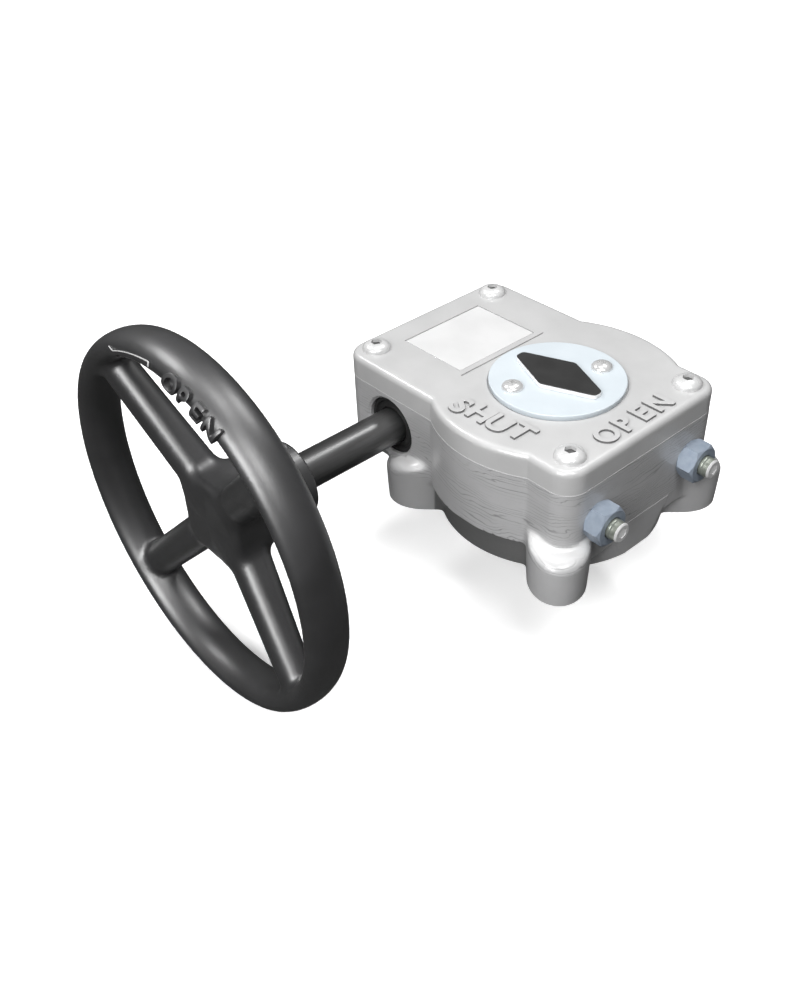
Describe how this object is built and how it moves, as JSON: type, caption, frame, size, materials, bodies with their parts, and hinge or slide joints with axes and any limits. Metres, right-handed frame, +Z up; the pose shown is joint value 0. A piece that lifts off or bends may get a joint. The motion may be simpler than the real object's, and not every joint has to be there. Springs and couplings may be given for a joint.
{
  "type": "quarter-turn manual operator",
  "caption": "Worm gearbox with a handwheel that turns a valve stem a quarter turn, with adjustable travel stops and a position pointer on its cover.",
  "frame": {"origin": "centre of the valve flange, where the output axis meets the face that bolts to the valve", "axes": "+Z up the output axis towards the cover, -Y towards the handwheel, +X towards the travel stops"},
  "size_m": [0.1829, 0.1924, 0.152],
  "materials": {
    "cast_body": "fine cast, silver grey paint",
    "cast_cover": "fine cast, pale grey paint, satin",
    "gasket": "pale gasket paper",
    "rubber_seal": "matt",
    "cover_screw_steel": "bright zinc",
    "dowel_steel": "ground",
    "label_white": "satin white film on a plate",
    "bronze": "turned bronze",
    "quadrant_iron": "machined ductile iron",
    "drive_steel": "machined",
    "disc_white": "smooth pale blue-white",
    "pointer_black": "satin black top, pale sides",
    "disc_screw_steel": "bright zinc",
    "worm_steel": "ground, hardened",
    "shaft_steel": "dark satin",
    "pin_steel": "spring steel",
    "washer_steel": "ground",
    "stop_steel": "grey-green passivated",
    "zinc_nut": "blue-white zinc",
    "charcoal_paint": "charcoal satin paint on cast iron"
  },
  "bodies": {
    "gearbox": {"housing": "cast_body", "cover": "cast_cover", "cover_gasket": "gasket", "cover_screws": "cover_screw_steel", "cover_dowels": "dowel_steel", "label_plate": "label_white", "lower_bush": "bronze", "upper_bush": "bronze", "base_seal": "rubber_seal", "cover_seal": "rubber_seal", "front_bush": "bronze", "rear_bush": "bronze", "front_thrust_washer": "washer_steel", "rear_thrust_washer": "washer_steel", "bush_retaining_ring": "pin_steel", "shaft_seal": "rubber_seal", "stop_lock_nuts": "zinc_nut"},
    "output": {"quadrant": "quadrant_iron", "drive_bush": "drive_steel", "drive_bush_clip": "pin_steel", "indicator_disc": "disc_white", "indicator_pointer": "pointer_black", "indicator_screws": "disc_screw_steel"},
    "input": {"handwheel": "charcoal_paint", "handwheel_pin": "pin_steel", "input_shaft": "shaft_steel", "worm": "worm_steel", "worm_pin": "pin_steel"},
    "open_stop": {"stop_screw_open": "stop_steel"},
    "shut_stop": {"stop_screw_shut": "stop_steel"}
  },
  "joints": [
    {"name": "handwheel_turn", "type": "hinge", "parent": "gearbox", "child": "input", "pos_m": [-0.05, 0, 0.03], "axis": [0, 1, 0], "range_deg": [0, 3600]},
    {"name": "output_turn", "type": "hinge", "parent": "gearbox", "child": "output", "pos_m": [0, 0, 0], "axis": [0, 0, -1], "range_deg": [0, 90]},
    {"name": "open_stop_travel", "type": "slide", "parent": "gearbox", "child": "open_stop", "axis": [1, 0, 0], "range_m": [0, 0.004]},
    {"name": "shut_stop_travel", "type": "slide", "parent": "gearbox", "child": "shut_stop", "axis": [1, 0, 0], "range_m": [0, 0.004]}
  ],
  "couplings": [
    {"joint": "output_turn", "follows": "handwheel_turn", "ratio": 0.025}
  ]
}
